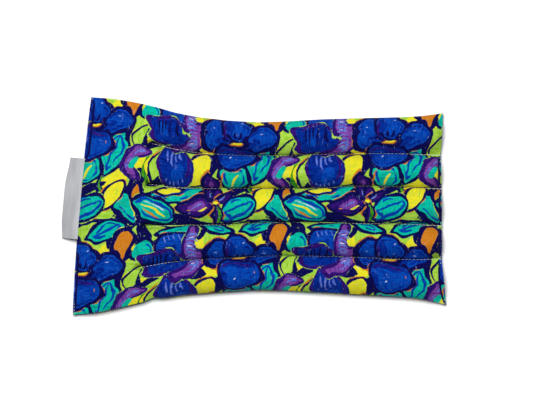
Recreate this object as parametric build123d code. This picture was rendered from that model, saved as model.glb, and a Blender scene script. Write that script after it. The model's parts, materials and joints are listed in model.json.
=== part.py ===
from build123d import *
import math
import os
from collections import namedtuple

# Eye pillow: two cotton panels sewn into a sack, quilted into five channels that open into
# one unquilted header at the left end, filled with grain, with a folded ribbon label caught
# in the header's closing seam.
# Millimetres. X runs along the channels, from the header to the far end, +Z is up, and the
# pillow lies on its back panel with the origin under the middle of the whole.

CLOTH = 0.5                 # thickness of one panel
SEAM_Z = 7.0                # height at which the two panels meet
CHANNELS = 5
STITCH_STRIP = 0.25         # half the strip pressed flat along a channel's stitch line
SEAM_MARGIN = 1.2           # strip pressed flat inside the perimeter seam
FLAT_SHARE = 0.37           # share of a channel's width that rests on the table
HEADER_DOME = 3.5           # power that shapes the header's cross-section
END_BULGE = 0.05            # the panels are all but flat where an end seam closes them
HEADER_DIP = 0.25           # trace of the grooves left in the header's underside

HEADER_SKEW = 0.086         # the header's seam leans by this much X for each Y
FAR_SKEW = -0.015           # and the far end's seam by this much

FILL_GAP = 0.35             # grain to cloth
STITCH_INSET = 1.3          # grain to stitch line
SEAM_INSET = 3.0            # grain to perimeter seam
HEADER_FILL_END = -83.0     # the header's grain is drawn as far as this
CHANNEL_FILL_START = -79.0  # and a channel's from here
CHANNEL_FILL_END = 120.0

THREAD_R = 0.15             # radius of a sewing thread
THREAD_SIDES = 8            # a thread is drawn as a prism with this many sides
ROOM = 0.02                 # clearance between sewn pieces
STITCH_START = -72.5        # where the channels' stitch lines begin
STITCH_END = 121.5          # and end, in the far seam
SIDE_THREAD_INSET = 2.1     # the perimeter's thread runs this far inside the sides
END_THREAD_INSET = 1.6      # and this far inside the two ends
SIDE_THREAD_START = -107.5
SIDE_THREAD_STOP = 5.0      # the side seams' threads end this far from the far seam
END_THREAD_STOP = 4.5       # and the end seams' threads this far from the sides

LABEL_Y = 4.5               # middle of the label along the header's seam
LABEL_LENGTH = 52.5
LABEL_OUT = 10.5            # how far the folded ribbon stands out of the seam
LABEL_TAIL = 6.0            # how far it runs in
RIBBON = 0.25               # thickness of one leaf of the ribbon
LABEL_DROOP = 8.0           # degrees below level
HINGE_OUT = 1.0             # the ribbon bends this far outside the panels' edge

# The plan: X, then Y of the upper side, of the four stitch lines and of the lower side.
PLAN = [
    (-112.0, 70.6, 42.5, 14.5, -14.0, -42.5, -70.6),
    (-93.5, 69.0, 42.0, 14.3, -13.8, -41.5, -68.2),
    (-71.0, 64.8, 40.8, 14.2, -13.3, -39.7, -62.8),
    (-48.0, 58.9, 35.6, 11.6, -12.5, -35.6, -58.2),
    (-16.0, 55.0, 33.0, 11.4, -12.0, -33.6, -55.3),
    (7.0, 54.2, 32.5, 11.4, -10.8, -32.3, -54.1),
    (36.0, 55.9, 33.3, 11.4, -10.4, -32.3, -55.4),
    (68.0, 56.9, 34.0, 13.0, -11.3, -33.2, -57.2),
    (94.0, 57.5, 33.9, 12.4, -11.6, -34.4, -58.6),
    (110.0, 58.4, 33.2, 11.6, -12.2, -34.6, -60.4),
    (123.1, 60.3, 32.7, 10.9, -13.2, -34.0, -64.0),
]

# The profile: X, how high the front panel rises over the seam, how high its underside is
# over the table, and how deep the grooves are, from 0 to 1.
PROFILE = [
    (-111.9, END_BULGE, SEAM_Z - CLOTH - END_BULGE, 0.0),
    (-109.0, 3.6, 3.4, 0.0),
    (-103.5, 6.4, 1.0, 0.0),
    (-95.5, 8.0, 0.0, 0.0),
    (-84.5, 8.6, 0.0, 0.0),
    (-78.5, 8.7, 0.0, 0.25),
    (-72.5, 8.8, 0.0, 0.75),
    (-66.5, 9.0, 0.0, 1.0),
    (-55.0, 9.2, 0.0, 1.0),
    (-40.0, 9.3, 0.0, 1.0),
    (-20.0, 9.4, 0.0, 1.0),
    (0.0, 9.4, 0.0, 1.0),
    (20.0, 9.4, 0.0, 1.0),
    (42.0, 9.3, 0.0, 1.0),
    (68.0, 9.2, 0.0, 1.0),
    (95.0, 8.8, 0.0, 1.0),
    (108.0, 7.4, 0.6, 1.0),
    (116.5, 4.2, 2.8, 0.8),
    (123.1, END_BULGE, SEAM_Z - CLOTH - END_BULGE, 0.8),
]
HEADER_X, FAR_X = PROFILE[0][0], PROFILE[-1][0]

# A cross-section: its X, the Ys of its six lines, and its row of the profile.
Section = namedtuple("Section", "x lines rise base groove")


def share_of(x, low, high):
    """How far x is from low to high, 0 to 1."""
    return min(1.0, max(0.0, (x - low) / (high - low)))


def mix(a, b, share):
    return a + share * (b - a)


def plan_slope(row, column):
    """How fast a line of the plan turns away from X at one of its rows."""
    before = PLAN[max(row - 1, 0)]
    after = PLAN[min(row + 1, len(PLAN) - 1)]
    return (after[column] - before[column]) / (after[0] - before[0])


def plan_y(x, column):
    """Y of one of the plan's lines, on a smooth curve through its rows."""
    row = max(k for k in range(len(PLAN) - 1) if PLAN[k][0] <= x or k == 0)
    low, high = PLAN[row], PLAN[row + 1]
    step = high[0] - low[0]
    t = share_of(x, low[0], high[0])
    turn_in = plan_slope(row, column) * step * t * (1 - t) ** 2
    turn_out = plan_slope(row + 1, column) * step * t**2 * (1 - t)
    return mix(low[column], high[column], t * t * (3 - 2 * t)) + turn_in - turn_out


def make_section(row):
    x, rise, base, groove = row
    return Section(x, [plan_y(x, column) for column in range(1, CHANNELS + 2)], rise, base, groove)


SECTIONS = [make_section(row) for row in PROFILE]


def section_at(x):
    """The cross-section anywhere between two of the profile's rows."""
    for low, high in zip(SECTIONS, SECTIONS[1:]):
        if low.x <= x <= high.x:
            share = share_of(x, low.x, high.x)
            lines = [mix(a, b, share) for a, b in zip(low.lines, high.lines)]
            rise, base, groove = (mix(a, b, share) for a, b in zip(low[2:], high[2:]))
            return Section(x, lines, rise, base, groove)
    raise ValueError(x)


def sections_between(low, high):
    """The cross-sections from one X to another, with one at each of the two."""
    inside = [s for s in SECTIONS if low < s.x < high]
    return [section_at(low)] + inside + [section_at(high)]


def place(x, y, z):
    """A point of the cross-section at x, whose plane leans as the end seams do."""
    skew = mix(HEADER_SKEW, FAR_SKEW, share_of(x, HEADER_X, FAR_X))
    return Vector(x + skew * y, y, z)


def is_side(k):
    return k in (0, CHANNELS)


def dome(section, y):
    """Share of the rise that the unquilted header has at y."""
    upper, lower = section.lines[0], section.lines[-1]
    off_middle = abs(2 * y - upper - lower) / (upper - lower)
    return 1 - min(1.0, off_middle) ** HEADER_DOME


def front_line_z(section, k):
    """Height of the front panel's inner face over line k."""
    if is_side(k):
        return SEAM_Z
    lifted = (1 - section.groove) * section.rise
    return SEAM_Z + lifted * dome(section, section.lines[k])


def front_crest_z(section, channel):
    """Height of the front panel's inner face over the middle of a channel."""
    y = (section.lines[channel] + section.lines[channel + 1]) / 2
    return SEAM_Z + section.rise * mix(dome(section, y), 1, section.groove)


def back_line_z(section, k):
    """Height of the back panel's inner face under line k."""
    if is_side(k):
        return SEAM_Z
    low = section.base + CLOTH
    dip = min(HEADER_DIP, SEAM_Z - low)
    return mix(low + dip, SEAM_Z, section.groove)


def inset_of(k, stitch, side):
    """How far an outline stays inside line k, given its insets from both kinds of line."""
    return side if is_side(k) else stitch


def channel_span(section, channel, stitch, side):
    """Y at which an outline starts and ends its arc over a channel."""
    start = section.lines[channel] - inset_of(channel, stitch, side)
    end = section.lines[channel + 1] + inset_of(channel + 1, stitch, side)
    return start, end


def arch(x, start, crest, end):
    """Arc through three (y, z) pairs."""
    return Edge.make_three_point_arc(place(x, *start), place(x, *crest), place(x, *end))


def haunch(x, top, foot):
    """Arc from a seam down to where the cloth meets the table, level at its foot."""
    across, drop = top[0] - foot[0], top[1] - foot[1]
    radius = (across**2 + drop**2) / (2 * drop)
    half_turn = math.atan2(abs(across), radius - drop) / 2
    middle = (
        foot[0] + math.copysign(radius * math.sin(half_turn), across),
        foot[1] + radius * (1 - math.cos(half_turn)),
    )
    return arch(x, top, middle, foot)


def straight(x, start, end):
    return Edge.make_line(place(x, *start), place(x, *end))


def loft_through(wires):
    return Solid.make_loft(wires, ruled=True)


def top_face(section, lift, stitch, side):
    """The front panel's outline, lift above its inner face, from the upper side to the lower:
    an arc over each channel, and short straight strips between them on the stitch lines."""
    edges, last = [], None
    for channel in range(CHANNELS):
        y_a, y_b = channel_span(section, channel, stitch, side)
        start = (y_a, front_line_z(section, channel) + lift)
        end = (y_b, front_line_z(section, channel + 1) + lift)
        crest = ((y_a + y_b) / 2, front_crest_z(section, channel) + lift)
        if last:
            edges.append(straight(section.x, last, start))
        edges.append(arch(section.x, start, crest, end))
        last = end
    return edges, (section.lines[0] - side, SEAM_Z + lift), last


def under_face(section, drop, stitch, side):
    """The back panel's outline, drop below its inner face: under each channel it comes down
    to the table, runs along it and goes up again."""
    edges, last = [], None
    floor = section.base + CLOTH - drop
    for channel in range(CHANNELS):
        y_a, y_b = channel_span(section, channel, stitch, side)
        upper, lower = section.lines[channel], section.lines[channel + 1]
        foot = FLAT_SHARE * (upper - lower) / 2
        foot_a, foot_b = (((upper + lower) / 2 + off, floor) for off in (foot, -foot))
        start = (y_a, back_line_z(section, channel) - drop)
        end = (y_b, back_line_z(section, channel + 1) - drop)
        if last:
            edges.append(straight(section.x, last, start))
        edges.append(haunch(section.x, start, foot_a))
        edges.append(straight(section.x, foot_a, foot_b))
        edges.append(haunch(section.x, end, foot_b))
        last = end
    return edges, (section.lines[0] - side, SEAM_Z - drop), last


def panel(face):
    """A panel of one cloth thickness, lofted from its outer and inner outlines."""
    wires = []
    for section in SECTIONS:
        outer, outer_start, outer_end = face(section, CLOTH, STITCH_STRIP, 0.0)
        inner, inner_start, inner_end = face(section, 0.0, STITCH_STRIP + CLOTH, SEAM_MARGIN)
        side_a, side_b = (outer_start[0], SEAM_Z), (outer_end[0], SEAM_Z)
        rim = [
            straight(section.x, outer_start, side_a),
            straight(section.x, side_a, inner_start),
            straight(section.x, inner_end, side_b),
            straight(section.x, side_b, outer_end),
        ]
        wires.append(Wire(outer + inner + rim))
    return loft_through(wires)


def fill_corner(section, k, y):
    """Top and bottom of the grain beside line k."""
    high = front_line_z(section, k) - FILL_GAP
    low = back_line_z(section, k) + FILL_GAP
    if high < low + FILL_GAP:
        high, low = SEAM_Z + FILL_GAP / 2, SEAM_Z - FILL_GAP / 2
    return (y, high), (y, low)


def fill_wire(section, first, last, crest_z):
    """Outline of the grain under channels first to last at one cross-section."""
    upper, lower = section.lines[first], section.lines[last + 1]
    y_a = upper - inset_of(first, STITCH_INSET, SEAM_INSET)
    y_b = lower + inset_of(last + 1, STITCH_INSET, SEAM_INSET)
    lift_off = (1 - FLAT_SHARE) * (section.lines[0] - section.lines[-1]) / CHANNELS / 2
    floor = section.base + CLOTH + FILL_GAP
    foot_a, foot_b = (upper - lift_off, floor), (lower + lift_off, floor)
    top_a, low_a = fill_corner(section, first, y_a)
    top_b, low_b = fill_corner(section, last + 1, y_b)
    crest = ((y_a + y_b) / 2, crest_z - FILL_GAP)
    x = section.x
    return Wire([
        arch(x, top_a, crest, top_b),
        straight(x, top_b, low_b),
        haunch(x, low_b, foot_b),
        straight(x, foot_b, foot_a),
        haunch(x, low_a, foot_a),
        straight(x, low_a, top_a),
    ])


def channel_fill(channel):
    sections = [s for s in SECTIONS if CHANNEL_FILL_START < s.x < CHANNEL_FILL_END]
    return loft_through(
        [fill_wire(s, channel, channel, front_crest_z(s, channel)) for s in sections]
    )


def header_fill():
    sections = [s for s in SECTIONS if SIDE_THREAD_START < s.x < HEADER_FILL_END]
    middle = CHANNELS // 2
    return loft_through(
        [fill_wire(s, 0, CHANNELS - 1, front_crest_z(s, middle)) for s in sections]
    )


def thread_ring(at, along, radius):
    """Cross-section of a thread."""
    across = Plane(origin=at, x_dir=Vector(0, 0, 1), z_dir=along)
    turns = [2 * math.pi * k / THREAD_SIDES for k in range(THREAD_SIDES)]
    corners = [(radius * math.cos(turn), radius * math.sin(turn)) for turn in turns]
    return Wire.make_polygon([across.from_local_coords(Vector(*c, 0)) for c in corners])


def thread_along(points, radius=THREAD_R):
    """A thread laid along straight runs, mitred where two of them meet."""
    before, after = points[:1] + points, points[1:] + points[-1:]
    return loft_through(
        [thread_ring(at, b - a, radius) for a, at, b in zip(before, points, after)]
    )


def needle_thread(k):
    """The front thread of stitch line k."""
    lift = CLOTH + ROOM + THREAD_R
    return thread_along([
        place(s.x, s.lines[k], front_line_z(s, k) + lift)
        for s in sections_between(STITCH_START, STITCH_END)
    ])


def bobbin_thread(k):
    """The back thread of stitch line k."""
    drop = CLOTH + ROOM + THREAD_R
    return thread_along([
        place(s.x, s.lines[k], back_line_z(s, k) - drop)
        for s in sections_between(STITCH_START, STITCH_END)
    ])


def side_seam_thread(k, inset):
    """Sewn inside out, along the side whose line is k."""
    return thread_along([
        place(s.x, s.lines[k] - inset, SEAM_Z)
        for s in sections_between(SIDE_THREAD_START, FAR_X - SIDE_THREAD_STOP)
    ])


def end_seam_thread(x, radius=THREAD_R):
    """Sewn across an end, between the two side seams."""
    section = section_at(x)
    upper, lower = section.lines[0] - END_THREAD_STOP, section.lines[-1] + END_THREAD_STOP
    return thread_along([place(x, y, SEAM_Z) for y in (upper, lower)], radius)


def closing_seam_thread(radius=THREAD_R):
    """The header's seam, sewn last, once the grain is in."""
    return end_seam_thread(HEADER_X + END_THREAD_INSET, radius)


def label_frame(out):
    """Origin at the middle of the label, out from the header's seam, its X pointing away
    from the pillow and its Y along the seam."""
    along = Vector(HEADER_SKEW, 1, 0).normalized()
    away = Vector(-along.Y, along.X, 0)
    middle = place(HEADER_X, LABEL_Y, SEAM_Z) + away * out
    return Plane(origin=middle, x_dir=away, z_dir=Vector(0, 0, 1))


def label_flap():
    """The folded ribbon outside the seam: two leaves joined by a round fold."""
    inner_r = RIBBON / 2
    outer_r = inner_r + RIBBON
    reach = LABEL_OUT - HINGE_OUT - outer_r
    outside = [(0, 0, outer_r), (reach, 0, outer_r), (reach, 0, -outer_r), (0, 0, -outer_r)]
    inside = [(0, 0, -inner_r), (reach, 0, -inner_r), (reach, 0, inner_r), (0, 0, inner_r)]
    profile = Wire([
        Edge.make_line(outside[0], outside[1]),
        Edge.make_three_point_arc(outside[1], (reach + outer_r, 0, 0), outside[2]),
        Edge.make_line(outside[2], outside[3]),
        Edge.make_line(outside[3], inside[0]),
        Edge.make_line(inside[0], inside[1]),
        Edge.make_three_point_arc(inside[1], (reach + inner_r, 0, 0), inside[2]),
        Edge.make_line(inside[2], inside[3]),
        Edge.make_line(inside[3], outside[0]),
    ])
    flap = Solid.extrude(Face(profile), Vector(0, LABEL_LENGTH, 0))
    flap = flap.translate(Vector(0, -LABEL_LENGTH / 2, 0)).rotate(Axis.Y, LABEL_DROOP)
    return label_frame(HINGE_OUT).location * flap


def label_tail(room=0.0):
    """The ribbon's two ends, caught between the panels, with room to spare all around."""
    length = LABEL_TAIL + HINGE_OUT / 2 + 2 * room
    width = LABEL_LENGTH + 2 * room
    height = 2 * (RIBBON + room)
    tail = Solid.make_box(length, width, height)
    tail = tail.translate(Vector(-LABEL_TAIL - room, -width / 2, -height / 2))
    return label_frame(0).location * tail


parts = {
    "front_panel": panel(top_face) - label_tail(ROOM),
    "back_panel": panel(under_face) - label_tail(ROOM),
    "header_fill": header_fill(),
    "upper_seam_thread": side_seam_thread(0, SIDE_THREAD_INSET),
    "lower_seam_thread": side_seam_thread(CHANNELS, -SIDE_THREAD_INSET),
    "far_seam_thread": end_seam_thread(FAR_X - END_THREAD_INSET),
    "closing_seam_thread": closing_seam_thread(),
    "side_label": label_flap(),
    "side_label_tail": label_tail() - closing_seam_thread(THREAD_R + ROOM),
}
for number in range(1, CHANNELS + 1):
    parts[f"channel_fill_{number}"] = channel_fill(number - 1)
for number in range(1, CHANNELS):
    parts[f"needle_thread_{number}"] = needle_thread(number)
    parts[f"bobbin_thread_{number}"] = bobbin_thread(number)

os.makedirs("parts", exist_ok=True)
for name, shape in parts.items():
    export_step(shape, f"parts/{name}.step")
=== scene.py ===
import json
import math

import bpy
import numpy as np
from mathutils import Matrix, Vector


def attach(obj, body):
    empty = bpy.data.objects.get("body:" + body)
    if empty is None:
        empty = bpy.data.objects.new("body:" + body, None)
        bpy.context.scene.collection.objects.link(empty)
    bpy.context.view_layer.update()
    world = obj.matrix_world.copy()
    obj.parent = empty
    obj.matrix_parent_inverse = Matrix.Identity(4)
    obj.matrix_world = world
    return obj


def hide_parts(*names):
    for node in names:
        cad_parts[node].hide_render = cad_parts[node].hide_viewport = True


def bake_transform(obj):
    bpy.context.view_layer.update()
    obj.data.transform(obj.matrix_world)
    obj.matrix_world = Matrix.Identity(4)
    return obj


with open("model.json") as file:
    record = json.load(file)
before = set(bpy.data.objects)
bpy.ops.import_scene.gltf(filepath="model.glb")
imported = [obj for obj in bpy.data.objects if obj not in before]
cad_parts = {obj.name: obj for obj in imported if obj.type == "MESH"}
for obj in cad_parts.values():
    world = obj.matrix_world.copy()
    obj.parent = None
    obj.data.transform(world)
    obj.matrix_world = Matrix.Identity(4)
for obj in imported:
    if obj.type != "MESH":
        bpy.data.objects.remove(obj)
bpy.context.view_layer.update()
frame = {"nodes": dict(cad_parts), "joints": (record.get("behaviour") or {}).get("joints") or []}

# Eye pillow: the CAD's panels become printed cotton, blown up by a cloth simulation between the
# CAD's own seam and stitch lines. The header is the unquilted end, where the label is. On the
# flat cloth, u runs from the header's seam to the far one, and v from the lower side to the
# upper one. Lengths are in millimetres unless a comment says otherwise.
MM = 0.001
CHANNELS = 5

# ---- the flat pattern ----
PANEL_LENGTH = 243.0  # finished size of a panel laid flat, along its middle
PANEL_WIDTH = 148.0
HALF_WIDTH = PANEL_WIDTH / 2
HEADER_CUT = 7.0  # the header's end is this far off square at each corner


def eased(x, low, high):
    """Eases from 0 to 1 as x goes from low to high."""
    t = np.clip((x - low) / (high - low), 0.0, 1.0)
    return t * t * (3 - 2 * t)


def rounded(x, length):
    """Rises from 0 to 1 over a length, as a quarter of an ellipse does."""
    return np.sqrt(1 - (1 - np.clip(x / length, 0.0, 1.0)) ** 2)


def carried_on(x, xs, ys):
    """Through the points, and straight on past the first and the last."""
    before = (x - xs[0]) * (ys[1] - ys[0]) / (xs[1] - xs[0])
    after = (x - xs[-1]) * (ys[-1] - ys[-2]) / (xs[-1] - xs[-2])
    return np.interp(x, xs, ys) + np.where(x < xs[0], before, 0) + np.where(x > xs[-1], after, 0)


# ---- meshes ----
def read(items, name, width=1, kind=float):
    """One property of all of a mesh's items: a row of that width for each, or plain numbers."""
    values = np.empty(len(items) * width, dtype=kind)
    items.foreach_get(name, values)
    return values if width == 1 else values.reshape(-1, width)


def grid_faces(ids, turned=False):
    a, b, c, d = ids[:-1, :-1], ids[1:, :-1], ids[1:, 1:], ids[:-1, 1:]
    corners = (a, b, c, d) if turned else (a, d, c, b)
    return np.stack(corners, axis=-1).reshape(-1, 4)


def added(name, data):
    """A new object in the scene."""
    piece = bpy.data.objects.new(name, data)
    bpy.context.scene.collection.objects.link(piece)
    return piece


def evaluated(piece):
    """The piece as its modifiers leave it."""
    return piece.evaluated_get(bpy.context.evaluated_depsgraph_get())


def mesh_object(name, points, faces):
    """A smooth mesh object in the row frame, from points in millimetres."""
    mesh = bpy.data.meshes.new(name)
    mesh.from_pydata((np.asarray(points) * MM).tolist(), [], [tuple(face) for face in faces])
    mesh.polygons.foreach_set("use_smooth", [True] * len(mesh.polygons))
    return added(name, mesh)


def set_cloth_place(mesh, u, v):
    """The place of each point on its flat cloth, in millimetres, as the mesh's UV map."""
    corners = read(mesh.loops, "vertex_index", kind=int)
    layer = mesh.uv_layers.new(name="cloth")
    layer.data.foreach_set("uv", np.column_stack([u, v])[corners].ravel())


# ---- seam and stitch lines, read from the CAD's threads ----
RING_GAP = 1.0  # the rings of a thread lie further apart than this
SEAM_INSET = 2.1  # the CAD's side threads run this far inside the sides
END_INSET = 1.6  # and its end threads this far inside the ends
LINE_EASE = 30.0  # a line comes into its place over this length before it is sewn
HEADER_BOW = 1.5  # the header's seam bows out this far between its corners
HEADER_HALF = 70.0  # half the length of that bow
FAR_BOW = 1.2  # the far seam lies this far inside its two corners
FAR_CORNERS = (42.0, 62.0)  # and comes out to them this far from the middle
FAR_PULLS = (1.0, 0.7, 0.8, 1.2)  # each stitch line pulls the far seam in this far
PULL_WIDTH = 3.5
TUCK_X, TUCK_DEPTH, TUCK_WIDTH = -66.0, 1.6, 4.0  # a tuck in the lower side


def thread_path(name):
    """Centres of a CAD thread's rings, in order along its longer way."""
    points = read(frame["nodes"][name].data.vertices, "co", 3) / MM
    along = int(np.argmax(np.ptp(points, axis=0)))
    points = points[np.argsort(points[:, along])]
    gaps = np.nonzero(np.diff(points[:, along]) > RING_GAP)[0] + 1
    return np.array([ring.mean(axis=0) for ring in np.split(points, gaps)])


UPPER, LOWER = thread_path("upper_seam_thread"), thread_path("lower_seam_thread")
HEADER, FAR = thread_path("closing_seam_thread"), thread_path("far_seam_thread")
STITCHES = [thread_path(f"needle_thread_{k}") for k in range(1, CHANNELS)]
SEAM_Z = float(UPPER[:, 2].mean())


def side_y(x, upper):
    path, out = (UPPER, SEAM_INSET) if upper else (LOWER, -SEAM_INSET)
    tuck = 0 if upper else TUCK_DEPTH * np.exp(-((x - TUCK_X) / TUCK_WIDTH) ** 2)
    return carried_on(x, path[:, 0], path[:, 1]) + out + tuck


def line_y(x, k):
    """Y of line k: the upper side, four stitch lines and the lower side."""
    upper, lower = side_y(x, True), side_y(x, False)
    if k in (0, CHANNELS):
        return upper if k == 0 else lower
    path = STITCHES[k - 1]
    evenly = upper + (lower - upper) * k / CHANNELS
    sewn = carried_on(x, path[:, 0], path[:, 1])
    return evenly + (sewn - evenly) * eased(x, path[0, 0] - LINE_EASE, path[0, 0])


def header_x(y):
    bow = HEADER_BOW * (1 - np.clip(np.abs(y) / HEADER_HALF, 0, 1) ** 2)
    return carried_on(y, HEADER[:, 1], HEADER[:, 0]) - END_INSET - bow


def far_x(y):
    """The far end, pulled in by each stitch line."""
    x = carried_on(y, FAR[:, 1], FAR[:, 0]) + END_INSET
    for path, pull in zip(STITCHES, FAR_PULLS):
        x = x - pull * np.exp(-((y - path[-1, 1]) / PULL_WIDTH) ** 2)
    return x - FAR_BOW * (1 - eased(np.abs(y), *FAR_CORNERS))


# ---- the sewn sack, before it is blown up ----
FIRST_START, FIRST_LENGTH = -112.0, 236.0  # where every line is looked for first
LINE_ROUNDS = 6  # times that guess is made better
CHORDS = (0.3, 0.9999)  # least and most of an arc's length that its chord may be
LINE_STARTS = (-0.8, -0.2, 0.2, 0.8)  # shares of the half width where each start is felt
TUBE_LENGTH = 22.0  # length over which the header turns into tubes
DOME = 8.5  # first guess at how high the header bulges
HEADER_RISE = 18.0  # length over which the header's end opens
END_ROUND = 14.0  # length over which the far end closes
CORNER_DROOP = 3.0  # the empty corners hang this far below the seams
DROOP_STARTS = 0.86  # from this share of the half width outwards
FAR_WAVE = 2.4  # the far seam rises and falls this far over each channel
WAVE_STOPS = 0.9  # up to this share of the half width
HEADER_REACH, FAR_REACH = 16.0, 14.0  # how far in the cloth follows each end's seam


def half_turn(ratio):
    """The half angle of an arc whose chord is that share of its length, found by halving."""
    low, high = np.full_like(ratio, 1e-3), np.full_like(ratio, 3.0)
    for _ in range(40):
        middle = (low + high) / 2
        slack = np.sin(middle) / middle > ratio
        low, high = np.where(slack, middle, low), np.where(slack, high, middle)
    return low


class Sack:
    """A grid for each panel: where its points are on the flat cloth, in u and v, and where they
    start in the sack. Row 0 is the upper side, and column 0 the header's end."""

    def __init__(self, per_channel):
        self.per_channel = per_channel
        self.rows = CHANNELS * per_channel
        self.columns = round(PANEL_LENGTH * self.rows / PANEL_WIDTH)
        self.column, self.row = np.indices((self.columns + 1, self.rows + 1))
        self.channel = np.minimum(self.row // per_channel, CHANNELS - 1)
        self.across = self.row / per_channel - self.channel
        self.share = self.column / self.columns
        self.v = PANEL_WIDTH * (0.5 - self.row / self.rows)
        cut = HEADER_CUT * self.v / HALF_WIDTH
        self.from_header = self.share * (PANEL_LENGTH - cut)
        self.u = self.from_header + cut
        self.place_lines()
        self.place_points()
        self.place_seams()

    def place_lines(self):
        """X and Y of every point if the sack were flat between its seams."""
        upper = self.line_through(self.channel)
        lower = self.line_through(self.channel + 1)
        self.x, self.y = (a * (1 - self.across) + b * self.across for a, b in zip(upper, lower))
        self.chord = upper[1] - lower[1]
        self.middle_y = (upper[1] + lower[1]) / 2

    def line_through(self, numbers):
        x, y = np.zeros(self.row.shape), np.zeros(self.row.shape)
        for k in range(CHANNELS + 1):
            here = numbers == k
            line_x = FIRST_START + FIRST_LENGTH * self.share[here]
            for _ in range(LINE_ROUNDS):
                near = line_y(line_x, k)
                line_x = header_x(near) + self.share[here] * (far_x(near) - header_x(near))
            x[here], y[here] = line_x, line_y(line_x, k)
        return x, y

    def place_points(self):
        """A domed header that turns into a round tube in each channel."""
        width = PANEL_WIDTH / CHANNELS
        angle = half_turn(np.clip(self.chord / width, *CHORDS))
        radius = width / (2 * angle)
        turn = (2 * self.across - 1) * angle
        tube_y = self.middle_y - radius * np.sin(turn)
        tube_z = radius * (np.cos(turn) - np.cos(angle))
        starts = [self.start_of(k) for k in range(1, CHANNELS)]
        edge = np.interp(-self.v, np.array(LINE_STARTS) * HALF_WIDTH, starts)
        quilted = eased(self.from_header, edge, edge + TUBE_LENGTH)
        tube = quilted * rounded(PANEL_LENGTH - self.u, END_ROUND)
        dome = rounded(self.from_header, HEADER_RISE)
        dome = DOME * dome * (1 - np.abs(self.v / HALF_WIDTH) ** 3)
        self.y = self.y + tube * (tube_y - self.y)
        self.lift = (1 - quilted) * dome + tube * tube_z

    def start_of(self, k):
        """How far from the header's seam stitch line k starts, on the flat cloth."""
        start, end = STITCHES[k - 1][[0, -1]]
        header = header_x(start[1])
        return (start[0] - header) / (end[0] - header) * PANEL_LENGTH

    def place_seams(self):
        self.sewn = np.zeros(self.row.shape, dtype=bool)
        for k in range(1, CHANNELS):
            on_line = self.row == k * self.per_channel
            self.sewn |= on_line & (self.from_header >= self.start_of(k))
        self.edge = (self.column % self.columns == 0) | (self.row % self.rows == 0)
        near_side = np.abs(self.v) / HALF_WIDTH
        at_header = 1 - eased(self.from_header, 0, HEADER_REACH)
        at_far = eased(self.u, PANEL_LENGTH - FAR_REACH, PANEL_LENGTH)
        wave = -FAR_WAVE * np.cos(2 * math.pi * self.across) * at_far
        wave = wave * (1 - eased(near_side, WAVE_STOPS, 1.0))
        droop = CORNER_DROOP * eased(near_side, DROOP_STARTS, 1.0) * (at_header + at_far)
        self.seam_z = SEAM_Z + wave - droop

    def joined(self):
        """Both panels as one mesh that shares its points on every seam: its points, their place
        on the flat cloth, which of them are sewn, and each panel's point numbers."""
        held = self.sewn | self.edge
        lift = np.where(held, 0.0, self.lift)
        front = np.arange(self.u.size).reshape(self.u.shape)
        back = front.copy()
        back[~held] = self.u.size + np.arange((~held).sum())
        upper = np.dstack([self.x, self.y, self.seam_z + lift])
        under = np.dstack([self.x, self.y, self.seam_z - lift])
        points = np.vstack([upper.reshape(-1, 3), under[~held]])
        flat = np.dstack([self.u, self.v, self.from_header])
        flat = np.vstack([flat.reshape(-1, 3), flat[~held]])
        pins = np.append(held, np.zeros((~held).sum(), dtype=bool))
        return points, flat, pins, front, back


# ---- the simulation ----
SIM_SCALE = 10.0  # it is run this many times larger
SIM_FRAMES = 30
ROWS_PER_CHANNEL = 12
SEED = 11
UNEVENNESS = 0.12  # of the shape that it starts from
CLOTH = {
    "quality": 6, "mass": 0.02, "vertex_group_mass": "sewn",
    "tension_stiffness": 40, "compression_stiffness": 40, "shear_stiffness": 10,
    "bending_stiffness": 0.02, "tension_damping": 8, "compression_damping": 8,
    "shear_damping": 8, "bending_damping": 0.5, "air_damping": 3,
    "use_pressure": True, "uniform_pressure_force": 10.0, "vertex_group_pressure": "pressure",
}
HEADER_PRESSURE = 0.35  # the header is less full than the channels
FILLS_UP = (30.0, 58.0)  # the pressure rises between these lengths from the header


def weigh(piece, name, weights):
    """A vertex group whose weights are rounded, so that few calls set them."""
    group = piece.vertex_groups.new(name=name)
    weights = np.round(weights, 2)
    for weight in np.unique(weights[weights > 0]):
        members = np.nonzero(weights == weight)[0]
        group.add(members.tolist(), float(weight), "REPLACE")


def add_cloth(piece, rest):
    """A cloth that keeps the flat pattern's lengths, held on its seams and blown up."""
    cloth = piece.modifiers.new("Cloth", "CLOTH")
    for name, value in CLOTH.items():
        setattr(cloth.settings, name, value)
    cloth.settings.rest_shape_key = rest
    cloth.settings.effector_weights.gravity = 0
    cloth.collision_settings.use_collision = False
    cloth.point_cache.frame_end = SIM_FRAMES


def blow_up(points, flat, pins, faces):
    """The sack's points once the simulation has settled."""
    rng = np.random.default_rng(SEED)
    start = points.copy()
    start[:, 2] += np.where(pins, 0, rng.normal(0, UNEVENNESS, len(points)))
    piece = mesh_object("sack", start * SIM_SCALE, faces)
    piece.shape_key_add(name="sack")
    rest = piece.shape_key_add(name="flat")
    rest.data.foreach_set("co", (flat * (1, 1, 0) * MM * SIM_SCALE).ravel())
    weigh(piece, "sewn", pins.astype(float))
    fullness = HEADER_PRESSURE + (1 - HEADER_PRESSURE) * eased(flat[:, 2], *FILLS_UP)
    weigh(piece, "pressure", fullness)
    add_cloth(piece, rest)
    for step in range(1, SIM_FRAMES + 1):
        bpy.context.scene.frame_set(step)
    found = read(evaluated(piece).data.vertices, "co", 3)
    bpy.context.scene.frame_set(1)
    bpy.data.objects.remove(piece)
    return found / (MM * SIM_SCALE)


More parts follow.
